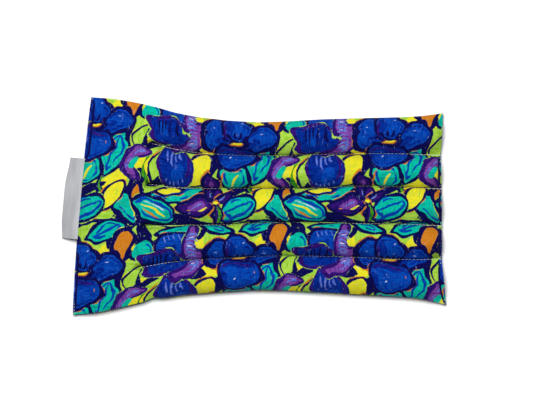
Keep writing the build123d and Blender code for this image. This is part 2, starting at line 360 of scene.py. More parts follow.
# ---- creases, puckers and folds, made after the simulation ----
PINCH = {1: 0.42, 2: 0.88}  # rows beside a line, and how near it
PINCH_STARTS = (3.0, 24.0)  # the cloth closes over a line this far along it
PINCH_ENDS = (4.0, 18.0)  # and opens again this far from the far end
PUCKER = 0.5  # the thread gathers the cloth into puckers this high
PUCKER_STEP = 1.4
PUCKERS_START = (-6.0, 3.0)
FOLDS = {2: (-4.0, 1.1), 3: (1.0, 1.0)}  # across a channel: how far past its start, how deep
FOLD_WIDTH = 2.6
REST_SOFTNESS = 1.2  # how gradually the underside turns up from the table


def puckers(u, k):
    """How high the cloth stands along line k: uneven, from about -PUCKER to PUCKER."""
    drift = 3 * np.sin(u / 23 + k)
    uneven = 0.6 + 0.4 * np.sin(u / 9.7 + 5 * k)
    return PUCKER * np.sin((u + drift) / PUCKER_STEP + 2 * k) * uneven


def pinched(points, sack, front, back):
    """Closes the cloth over each stitch line in a narrow crease, and gathers it into puckers
    along those lines and both side seams."""
    points = points.copy()
    for k in range(CHANNELS + 1):
        row = k * sack.per_channel
        quilted = 0 < k < CHANNELS
        sewn_on = sack.from_header[:, row] - (sack.start_of(k) if quilted else 0)
        closing_in = eased(sewn_on, *PINCH_STARTS) * quilted
        closing_in = closing_in * eased(PANEL_LENGTH - sack.u[:, row], *PINCH_ENDS)
        gathered = puckers(sack.u[:, row], k) * eased(sewn_on, *PUCKERS_START)
        for rows_away, share in PINCH.items():
            for near in (row - rows_away, row + rows_away):
                if not 0 < near < sack.rows:
                    continue
                for ids, outward in ((front, 1), (back, -1)):
                    gap = points[ids[:, near], 1] - points[ids[:, row], 1]
                    points[ids[:, near], 1] -= gap * closing_in * (1 - share)
                    points[ids[:, near], 2] += outward * gathered
    return points


def folded(points, sack, front):
    """Sinks a soft fold across some channels, beside the starts of their stitch lines."""
    points = points.copy()
    for channel, (offset, depth) in FOLDS.items():
        rows = slice(channel * sack.per_channel + 1, (channel + 1) * sack.per_channel)
        middle = (sack.start_of(channel) + sack.start_of(channel + 1)) / 2 + offset
        sunk = np.exp(-((sack.from_header[:, rows] - middle) / FOLD_WIDTH) ** 2)
        points[front[:, rows], 2] -= depth * sunk * np.sin(math.pi * sack.across[:, rows])
    return points


def laid_down(points):
    """Presses what would be below the table flat against it."""
    z = points[:, 2]
    pressed = (z + np.sqrt(z * z + REST_SOFTNESS**2)) / 2
    return np.column_stack([points[:, :2], pressed - pressed.min()])


# ---- the print: irises, buds and leaves in one tile, painted from the bottom layer up ----
TILE = 101.6  # the print repeats every four inches, both ways
TILE_CELLS = 340
# Each painted colour: its two tones, and how far it spreads under the colours after it.
TONES = {
    "teal": ((0, 182, 158), (4, 150, 126), 0.25),
    "green": ((70, 150, 10), (0, 92, 40), 0.15),
    "yellow": ((222, 212, 36), (196, 200, 44), 0.25),
    "ochre": ((188, 112, 20), (200, 124, 38), 0.2),
    "mauve": ((120, 64, 150), (82, 34, 126), 0.25),
    "blue": ((2, 68, 166), (0, 40, 136), 0.3),
    "indigo": ((0, 44, 142), (0, 20, 104), 0.4),
    "lavender": ((98, 118, 196), (60, 78, 176), 0.05),
    "cream": ((200, 208, 226), (150, 170, 215), 0.05),
    "purple": ((52, 14, 108), (16, 8, 84), 0.0),
    "navy": ((3, 6, 66), (14, 8, 80), 0.25),
}
LIME = ((165, 204, 72), (132, 184, 44))  # shows where none of these is painted
# what goes round a shape of each colour: outline, its width, rim outside it, and its width
EDGES = {
    "teal": ("navy", 1.6, "lime", 0.9),
    "yellow": ("navy", 1.4, "ochre", 0.8),
    "ochre": ("navy", 2.4, "yellow", 0.8),
    "blue": ("navy", 1.9, "ochre", 0.7),
    "indigo": ("purple", 1.9, "lime", 0.8),
    "mauve": ("purple", 2.2, "lime", 0.7),
    "purple": ("navy", 1.4, "ochre", 0.8),
    "lime": ("navy", 1.2, "yellow", 0.7),
}
# the broken line drawn inside a shape of each colour
INNER_LINES = {"teal": "blue", "blue": "indigo", "indigo": "blue", "yellow": "lime",
               "mauve": "lavender"}
INNER_INSET = 1.2  # it is at least this far inside
INNER_WIDTH = 0.42  # half of its thickness
INNER_GAPS = 0.75  # how much of it is left out
FARTHEST = 4.0  # the fields don't reach further than this outside a colour
WOBBLES = ((1.3, 5), (0.5, 11), (0.14, 24))  # a hand strays this far, in this many waves
RIPPLE_WAVES = 14
RIPPLE_HEIGHT = 5.3  # about the most that those waves add up to
BRUSH_TIP = 0.04  # a stroke is thinnest at this share of its length
IRIS_CENTRE = (4.5, 55.0)


def ripples(u, v, waves, seed):
    """Smooth noise that repeats with the tile, between about -1 and 1."""
    rng = np.random.default_rng(seed)
    total = np.zeros_like(u)
    for _ in range(RIPPLE_WAVES):
        bearing = rng.uniform(0, 2 * math.pi)
        across, up = round(waves * math.cos(bearing)), round(waves * math.sin(bearing))
        phase = rng.uniform(0, 2 * math.pi)
        total += np.cos(2 * math.pi * (across * u + up * v) / TILE + phase)
    return total / RIPPLE_HEIGHT


def hand_wobble(u, v, seed):
    """How far a hand strays from where it meant to draw."""
    return sum(far * ripples(u, v, waves, seed + i) for i, (far, waves) in enumerate(WOBBLES))


class Painter:
    """Keeps, for each colour, how far inside that colour each cell of the tile is."""

    def __init__(self):
        u, v = np.indices((TILE_CELLS, TILE_CELLS)) * TILE / TILE_CELLS
        self.u = u + hand_wobble(u, v, 1)
        self.v = v + hand_wobble(u, v, 11)
        self.thickness = 1 + 0.45 * ripples(u, v, 7, 21)
        self.breaks = 0.55 + 0.9 * ripples(u, v, 9, 22)
        self.centre = (0.0, 0.0)  # what is painted is placed from here
        self.fields = {colour: np.full(u.shape, -FARTHEST) for colour in TONES}

    def fill(self, colour, distance):
        """Covers where the distance is negative with one colour."""
        for name, field in self.fields.items():
            np.minimum(field, distance, out=field)
            if name == colour:
                np.maximum(field, -distance, out=field)

    def motif(self, colour, distance):
        """A painted shape inside its drawn outline and a broken rim."""
        if colour in EDGES:
            outline, width, rim, rim_width = EDGES[colour]
            outer = distance - width * self.thickness
            self.fill(rim, outer - rim_width * self.breaks)
            self.fill(outline, outer)
        self.fill(colour, distance)
        if colour in INNER_LINES:
            line = np.abs(distance + INNER_INSET + self.thickness) - INNER_WIDTH * self.thickness
            self.fill(INNER_LINES[colour], np.maximum(line, INNER_GAPS - self.breaks))

    def local(self, u, v, degrees):
        """The tile's coordinates as seen from a shape: along it, and across it."""
        du = (self.u - self.centre[0] - u + TILE / 2) % TILE - TILE / 2
        dv = (self.v - self.centre[1] - v + TILE / 2) % TILE - TILE / 2
        c, s = math.cos(math.radians(degrees)), math.sin(math.radians(degrees))
        return du * c + dv * s, dv * c - du * s

    def patch(self, colour, *egg):
        """A plain egg, without an outline."""
        self.fill(colour, self.egg(*egg))

    def egg(self, u, v, length, width, degrees, taper=0.0):
        """How far outside an egg each cell is. The egg is wider at its far end by the taper."""
        along, across = self.local(u, v, degrees)
        a, b = length / 2, width / 2
        across = across / (1 + taper * np.clip(along / a, -1, 1))
        near = np.hypot(along / a, across / b)
        slope = np.hypot(along / a**2, across / b**2) + 1e-6
        return near * (near - 1) / slope

    def lobes(self, colour, *eggs):
        """Eggs run together inside one outline: u, v, length, width and degrees each."""
        self.motif(colour, np.minimum.reduce([self.egg(*egg) for egg in eggs]))

    def leaf(self, colour, u, v, length, width, degrees):
        """Two arcs that meet in a point at both ends."""
        along, across = self.local(u, v, degrees)
        a, b = length / 2, width / 2
        radius = (a * a + b * b) / (2 * b)
        self.motif(colour, np.hypot(along, np.abs(across) + radius - b) - radius)

    def stroke(self, colour, width, *places, edged=False):
        """A brush stroke through u, v and u, v and so on, thinner towards its ends."""
        points = curve(np.reshape(places, (-1, 2)))
        centre = points.mean(axis=0)
        along, across = self.local(*centre, 0)
        near = np.full(along.shape, 1e3)
        steps = len(points) - 1
        for step, (start, end) in enumerate(zip(points[:-1] - centre, points[1:] - centre)):
            piece = end - start
            x, y = along - start[0], across - start[1]
            share = np.clip((x * piece[0] + y * piece[1]) / (piece @ piece), 0, 1)
            gap = np.hypot(x - share * piece[0], y - share * piece[1])
            place = np.clip((step + share) / steps, BRUSH_TIP, 1 - BRUSH_TIP)
            ends = np.sin(math.pi * place) ** 0.5
            near = np.minimum(near, gap - width / 2 * ends * self.thickness)
        cover = self.motif if edged else self.fill
        cover(colour, near)

    def strokes(self, colour, *strokes):
        """Plain strokes of one colour: the width and places of each."""
        for stroke in strokes:
            self.stroke(colour, *stroke)


def curve(points):
    """Four steps to each span of a smooth curve through the points."""
    ends = np.vstack([2 * points[0] - points[1], points, 2 * points[-1] - points[-2]])
    found = [points[0]]
    for a, b, c, d in zip(ends[:-3], ends[1:-2], ends[2:-1], ends[3:]):
        for t in (0.25, 0.5, 0.75, 1.0):
            bend = (2 * a - 5 * b + 4 * c - d) * t * t + (3 * b - 3 * c + d - a) * t**3
            found.append(b + (c - a) * t / 2 + bend / 2)
    return np.array(found)


GROUND = {
    "yellow": (
        (20, 66, 20, 9, 80), (43, 52, 16, 9, 60), (86, 47, 18, 8, 20), (24, 19, 24, 10, 40),
        (80, 70, 14, 6, 80), (41, 28, 16, 7, 75), (16, -16, 16, 6, 10), (93, 66, 12, 6, 60)),
    "navy": (
        (88, 33, 30, 13, 40), (55, 73, 30, 9, 12), (28, 48, 36, 6, 80), (62, -9, 44, 7, -8),
        (92, -14, 26, 5, 5), (36, 16, 24, 8, 60), (74, 46, 20, 10, 0), (28, -19, 26, 17, 80),
        (74, 8, 44, 9, 0), (50, 47, 20, 6, 30), (52, 18, 18, 6, 30), (99, 38, 20, 6, -30),
        (80, -19, 10, 16, 0), (8, 12, 20, 5, 20), (44, -21, 8, 16, 10)),
}


def paint_ground(p):
    for colour, patches in GROUND.items():
        for patch in patches:
            p.patch(colour, *patch)


def paint_stems(p):
    p.strokes(
        "navy", (4.2, 29, 78, 26, 60, 28, 46, 24, 33, 27, 22),
        (4.0, 2, -13, 16, -11, 30, -14, 44, -12, 60, -15), (3.6, 70, -13, 84, -12, 100, -15),
        (3.4, 30, 24, 36, 14, 44, 10), (3.6, 12, 38, 12, 22, 12.5, 8, 11, -8))
    p.strokes("green", (1.7, 13, 38, 12.4, 22, 13, 8, 11.4, -6), (2.4, 45, 36, 42, 24, 44, 12))
    p.strokes("ochre", (1.6, 13, 4, 11.4, -4, 12, -12), (1.4, 52, 42, 47, 34, 45, 22))


def paint_leaves(p):
    """Leaves in order, with two round ones among them."""
    p.leaf("teal", 20, 36, 31, 15, 70)
    p.lobes("teal", (2, 24, 19, 17, 80, 0.2))
    p.leaf("teal", 19, -18, 27, 11, 22)
    p.lobes("teal", (44, 70, 14, 12, 60))
    for colour, *place in (
            ("teal", 66, -20, 28, 7, 8), ("teal", 92, -20, 20, 8, -20),
            ("teal", 32, -1, 25, 14, -60), ("yellow", 21, 6, 21, 10, 55),
            ("ochre", 39, 4, 22, 8, -78), ("ochre", 31, 75, 22, 11, 78),
            ("teal", 66, 9, 42, 11, 10), ("yellow", 60, 11, 16, 5, 8),
            ("teal", 50, -3, 32, 15, -22), ("teal", 4, -2, 25, 15, 24),
            ("lime", 38, 48, 20, 8, 62), ("lime", 51, 30, 26, 8, 68),
            ("yellow", 81, 30, 25, 13, 68)):
        p.leaf(colour, *place)


def paint_leaf_veins(p):
    p.strokes(
        "blue", (1.0, 15, 25, 19, 35, 24, 47), (0.8, 20, 29, 24, 35, 26, 43),
        (0.9, -4, -5, 3, -1, 10, 3), (1.3, -7, -9, 0, -9.5, 8, -5, 13, 3),
        (1.3, -6, -2, -1, 4, 7, 7), (0.9, 10, -22, 19, -18, 28, -13), (0.9, 50, 5, 66, 10, 82, 14),
        (1.4, 38, 3, 46, 4, 58, -2, 64, -8))
    p.stroke("yellow", 1.1, 42, 1, 49, -2, 57, -7)
    p.stroke("ochre", 0.8, 42, -1.5, 47, -5, 53, -8)
    p.stroke("cream", 0.8, 44, 2.5, 51, 0, 57, -4)
    p.stroke("ochre", 0.9, -7, 17, -6, 24, -3, 30)
    p.stroke("yellow", 0.9, 0, 17, 1, 22, 4, 28)
    p.strokes("green", (0.7, 76, 21, 81, 30, 86, 40), (0.7, 16, 0, 21, 6, 25, 12))


def paint_buds(p):
    p.leaf("purple", 78, 0, 25, 11, 8)
    p.patch("mauve", 79, 1, 14, 5, 8)
    p.stroke("lavender", 1.3, 74, -1, 79, 1.5, 84, 2.5)
    p.stroke("ochre", 1.2, 71, -2, 75, -1.5)
    p.stroke("yellow", 1.3, 80, -1.5, 86, 0)
    p.leaf("purple", 88, 20, 15, 8, 100)
    p.stroke("mauve", 2.2, 87.5, 17, 88.5, 23)
    for u, v in ((84, 13), (93, 14), (103, 10), (91, -11)):
        p.stroke("purple", 3.6, 91, 2, (91 + u) / 2 + 0.8, (2 + v) / 2, u, v, edged=True)
    p.strokes("lavender", (1.2, 93, 5, 98, 8), (1.0, 90, 5, 87, 10))
    p.patch("yellow", 91, 2.5, 3.4, 2.4, 30)
    p.stroke("green", 2.2, 91, 0, 93, -6, 92, -13)


def paint_petals(p):
    p.lobes("blue", (63, 73, 22, 12, 8), (67, 69, 10, 12, 0))
    p.lobes("indigo", (56, 60, 24, 15, -10), (59, 54, 26, 13, 0), (49, 61, 13, 12, 30))
    p.lobes("indigo", (62, 34, 20, 19, 96), (64, 25, 19, 22, 80), (68, 30, 14, 14, 0))
    p.patch("blue", 65, 26, 15, 9, 80)
    p.patch("blue", 54, 58, 9, 13, 20)
    p.strokes("purple", (1.6, 46, 62, 50, 66.5, 60, 67.5, 70, 62), (1.8, 71, 22, 73, 30, 71, 39))
    for u, v in ((57, 77), (60, 78), (63, 78.5), (66, 78.5), (69, 78)):
        p.stroke("lavender", 0.7, u, v, u + 1, v - 5)
    for u, v, drop in ((59, 41, 7), (62, 42.5, 11), (65, 42.5, 8), (67.5, 41, 5)):
        p.stroke("lavender", 1.2, u, v, u - 0.5, v - drop / 2, u, v - drop)
    for u, v in ((57, 22), (60, 20.5), (63, 20), (66, 20.5), (69, 22)):
        p.stroke("lavender", 0.8, u, v, u + 0.4, v - 3)
    for u, v, drop in ((50, 65, 9), (53, 66, 13), (56, 66, 8), (60, 66, 12), (64, 65, 9)):
        p.stroke("navy", 0.9, u, v, u - 0.6, v - drop / 2, u + 0.4, v - drop)


def paint_ribbons(p):
    p.stroke("mauve", 9.0, 76, 82, 74.5, 68, 77, 58, 73, 49, 64, 44, edged=True)
    p.stroke("mauve", 7.0, 43, 38, 35, 37, 31, 28, 35, 19, edged=True)
    for v in range(77, 49, -3):
        p.stroke("lavender", 1.5, 71, v, 75, v + 1.2, 79.5, v - 0.5)
    for v in np.arange(75.5, 50, -6):
        p.stroke("cream", 0.6, 72, v, 77, v + 0.8)
    for u, v in ((39, 38), (35, 36), (32, 32), (31, 27)):
        p.stroke("lavender", 0.9, u - 2, v - 2, u + 1.5, v + 1.5)
    p.patch("teal", 34.5, 29, 9, 5, 70)
    p.stroke("purple", 3.0, 42, 42, 33, 40.5, 26, 30, 31, 18, 38, 17)


def paint_iris(p):
    """A five-petalled flower seen from the front, painted from its own centre."""
    p.centre = IRIS_CENTRE
    for petal in (
            ((-13, 9, 17, 17, 160), (-14.5, 2, 14, 16, 100), (-9, 4, 14, 12, 20)),
            ((15, 2, 18, 14, 25), (19, 6, 13, 12, 60)),
            ((-1, 12, 15, 15, 95), (2, 9, 16, 13, 20)),
            ((-6, -12, 18, 17, -80), (5, -13, 18, 18, -100), (0, -17, 24, 11, 0))):
        p.lobes("blue", *petal)
    for shade in ((-9, 2, 12, 4, 10), (9, -1, 13, 3, 20), (-1, -6, 20, 4, 0),
                  (-5, 10, 12, 3, 80), (-12, -14, 9, 4, 100), (13, 7, 10, 2.5, 35)):
        p.patch("indigo", *shade)
    for u, v in ((-9, 3), (-6, 6), (-2, 7.5), (2, 7.5), (6, 5)):
        p.stroke("navy", 1.6, u / 2, v / 2, u, v)
    p.stroke("navy", 2.6, -10, -1, 0, -2.5, 9, 1)
    p.stroke("ochre", 2.2, -4.5, -0.5, 0, -0.8, 4.5, 1.6)
    p.stroke("yellow", 1.7, -3.5, 0.2, 0, 0, 3.8, 2.2)
    p.strokes("purple", (1.2, -13, -8, -4, -5.5, 10, -7), (1.2, -5, 2, -7.5, 9, -6, 16))
    p.stroke("ochre", 1.8, 9, -9, 9.5, -13)
    for u, v in ((-17, 10), (16, 6), (-5, -15), (2, 15)):
        p.stroke("cream", 0.5, u, v, u + 1.8, v + 0.8)


def painted_tile():
    p = Painter()
    for paint in (paint_ground, paint_stems, paint_leaves, paint_leaf_veins, paint_buds,
                  paint_petals, paint_ribbons, paint_iris):
        paint(p)
    return p.fields


TILE_FIELDS = painted_tile()


# ---- finishes ----
def linear(red, green, blue):
    """A colour as a screen shows it, 0 to 255, as the shaders want it."""
    found = []
    for part in (red, green, blue):
        part = part / 255
        found.append(part / 12.92 if part <= 0.04045 else ((part + 0.055) / 1.055) ** 2.4)
    return (*found, 1.0)


class Finish:
    """A material and short ways to add its nodes. What goes into a socket is a number, a colour
    or another node's output."""

    def __init__(self, name):
        self.material = bpy.data.materials.new(name)
        self.material.use_nodes = True
        self.tree = self.material.node_tree

    def feed(self, node, sockets):
        for socket, value in sockets.items():
            if isinstance(value, bpy.types.NodeSocket):
                self.tree.links.new(value, node.inputs[socket])
            else:
                node.inputs[socket].default_value = value

    def add(self, kind, sockets, output=0, **settings):
        """A node with those sockets and settings. Returns one of its outputs."""
        node = self.tree.nodes.new(f"ShaderNode{kind}")
        for name, value in settings.items():
            setattr(node, name, value)
        self.feed(node, sockets)
        return node.outputs[output]

    def shaded(self, **values):
        """The material, with its shader's sockets fed: an underscore stands for a space."""
        sockets = {name.replace("_", " "): value for name, value in values.items()}
        self.feed(self.tree.nodes["Principled BSDF"], sockets)
        return self.material

    def cloth_place(self, stretch):
        """The place on the flat cloth, in millimetres, scaled to stretch what it carries."""
        place = self.add("UVMap", {}, uv_map="cloth")
        return self.add("VectorMath", {0: place, 1: (*stretch, 0)}, operation="MULTIPLY")

    def noise(self, scale, detail=2.0, twist=0.0, stretch=(1, 1)):
        sockets = {"Vector": self.cloth_place(stretch), "Scale": scale, "Detail": detail,
                   "Distortion": twist}
        return self.add("TexNoise", sockets, "Fac")

    def wave(self, scale, direction, twist=0.0):
        sockets = {"Vector": self.cloth_place((1, 1)), "Scale": scale, "Distortion": twist}
        return self.add("TexWave", sockets, "Fac", bands_direction=direction)

    def ranged(self, value, low, high, to_low=0.0, to_high=1.0):
        """Eases from one number to another as the value goes from low to high."""
        sockets = {"Value": value, "From Min": low, "From Max": high, "To Min": to_low,
                   "To Max": to_high}
        return self.add("MapRange", sockets, interpolation_type="SMOOTHSTEP")

    def total(self, first, second):
        return self.add("Math", {0: first, 1: second}, operation="ADD")

    def mixed(self, share, first, second):
        """The first colour, turning into the second as the share goes from 0 to 1."""
        return self.add("Mix", {"Factor": share, 6: first, 7: second}, 2, data_type="RGBA")

    def bump(self, height, strength, distance):
        sockets = {"Height": height, "Strength": strength, "Distance": distance * MM}
        self.shaded(Normal=self.add("Bump", sockets))

    def weave(self, across_pitch, along_pitch):
        """Threads over and under each other: the height of a plain weave."""
        return self.total(*(self.wave(2 * math.pi / (20 * pitch), direction, twist=0.6)
                            for direction, pitch in (("X", across_pitch), ("Y", along_pitch))))


ROUGH_EDGED = ("navy", "purple")
WEAVE_PITCH = 0.45  # one warp thread and the next
EDGE_SOFTNESS = 0.12  # of a painted shape, either way


def add_print(finish):
    """The painted colours over lime, each in two tones of pencil strokes."""
    upright = finish.noise(1.1, detail=3, twist=0.6, stretch=(1.0, 0.16))
    slanted = finish.noise(0.9, detail=3, twist=0.8, stretch=(0.22, 0.9))
    patches = finish.ranged(finish.noise(0.06), 0.45, 0.55)
    tone = finish.ranged(finish.mixed(patches, upright, slanted), 0.40, 0.66)
    ragged = finish.ranged(finish.noise(0.8, detail=3), 0.0, 1.0, -0.3, 0.3)
    colour = finish.mixed(tone, *(linear(*part) for part in LIME))
    for name, (light, deep, spread) in TONES.items():
        inside = finish.add("Attribute", {}, "Fac", attribute_name=f"print_{name}")
        if name in ROUGH_EDGED:
            inside = finish.total(inside, ragged)
        shown = finish.ranged(inside, -spread - EDGE_SOFTNESS, -spread + EDGE_SOFTNESS)
        painted = finish.mixed(tone, linear(*light), linear(*deep))
        colour = finish.mixed(shown, colour, painted)
    return colour


def printed_cotton(name):
    """Plain-woven cotton, printed, with pale flecks, and a little faded where it has rubbed."""
    finish = Finish(name)
    rubbed = finish.ranged(finish.noise(1.6, detail=4), 0.62, 0.8, 0.0, 0.07)
    colour = finish.mixed(rubbed, add_print(finish), linear(150, 165, 205))
    flecks = finish.noise(0.8, twist=1.2, stretch=(0.9, 0.3))
    flecks = finish.ranged(flecks, 0.67, 0.73, 0.0, 0.36)
    finish.bump(finish.weave(WEAVE_PITCH, WEAVE_PITCH), strength=0.3, distance=0.05)
    return finish.shaded(
        Base_Color=finish.mixed(flecks, colour, linear(150, 172, 222)),
        Roughness=finish.ranged(finish.noise(0.5), 0.3, 0.7, 0.78, 0.92),
        Sheen_Weight=0.01, Specular_IOR_Level=0.04)


def spun_thread(name, light, deep):
    """Off-white sewing thread, twisted from plies."""
    finish = Finish(name)
    shade = finish.ranged(finish.noise(1.4, detail=3), 0.35, 0.65)
    finish.bump(finish.wave(1.6, "DIAGONAL"), strength=0.6, distance=0.08)
    return finish.shaded(Base_Color=finish.mixed(shade, light, deep), Roughness=0.6,
                         Sheen_Weight=0.2, Specular_IOR_Level=0.4)


def satin_ribbon(name):
    """Light grey satin: fine ribs along it, paler and darker in soft bands."""
    finish = Finish(name)
    bands = finish.ranged(finish.noise(0.6, detail=3, stretch=(0.3, 0.06)), 0.3, 0.7)
    finish.bump(finish.weave(0.5, 1.4), strength=0.35, distance=0.05)
    return finish.shaded(
        Base_Color=finish.mixed(bands, linear(176, 177, 180), linear(160, 161, 166)),
        Roughness=finish.ranged(finish.noise(0.8), 0.3, 0.7, 0.36, 0.5),
        Sheen_Weight=0.2, Specular_IOR_Level=0.5, Anisotropic=0.4)


# ---- the panels ----
REFINED = 2  # times each panel's grid is halved after the simulation
BACK_SHIFT = (58.0, 92.0)  # where the back panel was cut from the same print
PRINT_RUNS_TRUE = (10.0, 95.0)  # the print follows the header's slant, and less and less here
# The back panel rolls up over the ends, so that its seam shows on the front.
UPPER_ROLL, LOWER_ROLL = 2.8, 1.6  # how far in it lies, on each side of the label
ROLL_STARTS, ROLL_STOPS = (0.38, 0.5), (0.93, 1.0)  # shares of the half width
FAR_ROLLS = (0.0, 1.8, 1.6, 2.2, 3.2)  # at the middle of each channel
ROLL_SHOWS = (0.2, 1.0)  # a smaller roll than this has no groove
GROOVE_DEPTH = GROOVE_WIDTH = 0.7
GROOVE_PAINTED_SHADE = 3.0  # how strongly painted shade, in the print's navy, lines the groove


def add_panel(name, sack, settled, flat, ids, turned):
    """One panel of the settled sack, creased on its seams and printed, with painted shade in its
    grooves.
    """
    piece = mesh_object(name, settled[ids.ravel()],
                        grid_faces(np.arange(ids.size).reshape(ids.shape), turned))
    crease_seams(piece.data, (sack.sewn | sack.edge).ravel())
    carried = piece.data.attributes.new("flat", "FLOAT_VECTOR", "POINT")
    carried.data.foreach_set("vector", flat[ids.ravel()].ravel())
    refine(piece)
    u, v, from_header = read(piece.data.attributes["flat"].data, "vector", 3).T
    set_cloth_place(piece.data, u, v)
    print_u = from_header + (u - from_header) * eased(from_header, *PRINT_RUNS_TRUE)
    ends = ((header_roll(v), from_header), (far_roll(v), PANEL_LENGTH - u))
    rolled = turned | np.logical_or(*(from_end < roll for roll, from_end in ends))
    add_print_fields(piece.data, print_u + rolled * BACK_SHIFT[0], v + rolled * BACK_SHIFT[1])
    if not turned:
        # painted shade: the print's navy is laid along the groove
        press_groove_and_paint_shade(piece.data, np.maximum(*(in_groove(*end) for end in ends)))
    return piece


def crease_seams(mesh, held):
    """Every edge between two held points stays a sharp fold when the mesh is refined."""
    ends = read(mesh.edges, "vertices", 2, int)
    crease = mesh.attributes.new("crease_edge", "FLOAT", "EDGE")
    crease.data.foreach_set("value", held[ends].all(axis=1).astype(float))


def header_roll(v):
    """How far in the header's seam lies: beside its corners, not at them or at its middle."""
    share = np.abs(v) / HALF_WIDTH
    roll = eased(share, *ROLL_STARTS) * (1 - eased(share, *ROLL_STOPS))
    return roll * np.where(v > 0, UPPER_ROLL, LOWER_ROLL)


def far_roll(v):
    """How far in the far seam lies: most at the middle of each channel."""
    channels = (0.5 - v / PANEL_WIDTH) * CHANNELS
    channel = np.clip(np.floor(channels).astype(int), 0, CHANNELS - 1)
    return np.array(FAR_ROLLS)[channel] * np.abs(np.sin(math.pi * channels)) ** 0.6


def in_groove(roll, from_end):
    """Nearly 1 on the seam's line and 0 away from it, and 0 where nothing is rolled over."""
    return np.exp(-((roll - from_end) / GROOVE_WIDTH) ** 2) * eased(roll, *ROLL_SHOWS)


def press_groove_and_paint_shade(mesh, groove):
    """Sinks the cloth along the seam's line, and paints shade there in the print's navy."""
    points = read(mesh.vertices, "co", 3)
    points[:, 2] -= GROOVE_DEPTH * MM * groove
    mesh.vertices.foreach_set("co", points.ravel())
    # painted shade: navy raised along the groove, where the crease lies in shadow
    navy = mesh.attributes["print_navy"].data
    navy.foreach_set("value", np.maximum(read(navy, "value"), GROOVE_PAINTED_SHADE * (groove - 0.5)))


def refine(piece):
    """Splits each face, so that the print's edges are fine."""
    split = piece.modifiers.new("split", "SUBSURF")
    split.levels = split.render_levels = REFINED
    mesh = bpy.data.meshes.new_from_object(evaluated(piece))
    piece.modifiers.clear()
    piece.data = mesh


def add_print_fields(mesh, u, v):
    """How far each point is inside each painted colour."""
    for colour, field in TILE_FIELDS.items():
        attribute = mesh.attributes.new(f"print_{colour}", "FLOAT", "POINT")
        attribute.data.foreach_set("value", sampled(field, u, v))


def sampled(field, u, v):
    """The tile's values at places on the cloth, blended between its cells."""
    cells = len(field)
    x, y = (np.mod(part, TILE) * cells / TILE for part in (u, v))
    column, row = np.floor(x).astype(int), np.floor(y).astype(int)
    found = 0
    for right, above in ((0, 0), (1, 0), (0, 1), (1, 1)):
        share = (1 - np.abs(x - column - right)) * (1 - np.abs(y - row - above))
        found = found + share * field[(column + right) % cells, (row + above) % cells]
    return found


# ---- the stitches ----
THREAD = 0.36  # thickness of the stitching thread
STITCH_PITCH, STITCH_LENGTH = 2.4, 2.0
STITCH_LIFT = 0.35  # in thicknesses, above the line
BACKTACK = 9.0  # each line is sewn back over itself this far at its ends
BACKTACK_OFFSET = 0.9  # in thicknesses, beside the line
SEAM_STITCH_PITCH, SEAM_STITCH_LENGTH = 2.2, 1.3
SEAM_STITCH_INSET = 0.8  # how far inside the seam it lies
# Along a stitch, as shares of its length and of the thread: where, how high and how thick.
STITCH_RINGS = ((-0.5, -0.45, 0.35), (-0.36, -0.05, 0.9), (-0.12, 0.1, 1.0),
                (0.12, 0.1, 1.0), (0.36, -0.05, 0.9), (0.5, -0.45, 0.35))
STITCH_SIDES = 6


def lengths_along(path):
    return np.append(0, np.cumsum(np.linalg.norm(np.diff(path, axis=0), axis=1)))


def along_path(path, places):
    """Points at those lengths along a path, and which way it runs there."""
    points, ahead, behind = (
        np.column_stack([np.interp(places + step, lengths_along(path), part) for part in path.T])
        for step in (0, 1, -1))
    ways = ahead - behind
    return points, ways / np.linalg.norm(ways, axis=1)[:, None]


def tube_faces(ids):
    """The faces of a tube with those rings of points, closed at both ends."""
    around = grid_faces(np.column_stack([ids, ids[:, 0]]))
    return [*around.tolist(), ids[0, ::-1].tolist(), ids[-1].tolist()]


def add_stitches(name, middles, ways, outward, length, finish):
    """One mesh of short threads that dip into the cloth at both ends."""
    points, places = [], []
    turns = np.arange(STITCH_SIDES) * 2 * math.pi / STITCH_SIDES
    for middle, way in zip(middles, ways):
        side = np.cross(way, (0, 0, outward))
        side /= np.linalg.norm(side)
        up = np.cross(side, way)
        for along, lift, thick in STITCH_RINGS:
            ring = middle + way * along * length + up * lift * THREAD
            for turn in turns:
                spoke = side * math.cos(turn) + up * math.sin(turn)
                points.append(ring + spoke * thick * THREAD / 2)
                places.append((along * length, turn * THREAD / 2))
    ids = np.arange(len(points)).reshape(-1, len(STITCH_RINGS), STITCH_SIDES)
    piece = mesh_object(name, points, [face for tube in ids for face in tube_faces(tube)])
    set_cloth_place(piece.data, *np.array(places).T)
    piece.data.materials.append(finish)
    return piece


def add_stitch_line(name, path, outward, finish):
    """A running line of stitches, sewn twice over at both ends."""
    total = lengths_along(path)[-1]
    places = np.arange(STITCH_PITCH / 2, total, STITCH_PITCH)
    tacks = np.arange(STITCH_PITCH, BACKTACK, STITCH_PITCH)
    middles, ways = along_path(path, np.hstack([places, tacks, total - tacks]))
    middles[len(places):, 1] += BACKTACK_OFFSET * THREAD
    middles[:, 2] += outward * STITCH_LIFT * THREAD
    return add_stitches(name, middles, ways, outward, STITCH_LENGTH, finish)


def add_seam_stitches(name, path, inward, finish):
    """The thread that joins the two panels, just inside their seam."""
    places = np.arange(SEAM_STITCH_PITCH / 2, lengths_along(path)[-1], SEAM_STITCH_PITCH)
    middles, ways = along_path(path, places)
    middles[:, :2] += np.array(inward) * SEAM_STITCH_INSET
    return add_stitches(name, middles, ways, 1, SEAM_STITCH_LENGTH, finish)


def stand_for(piece, slot, *nodes):
    """The piece takes the place of those CAD nodes and rides with the pillow."""
    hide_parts(*nodes)
    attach(piece, "pillow")


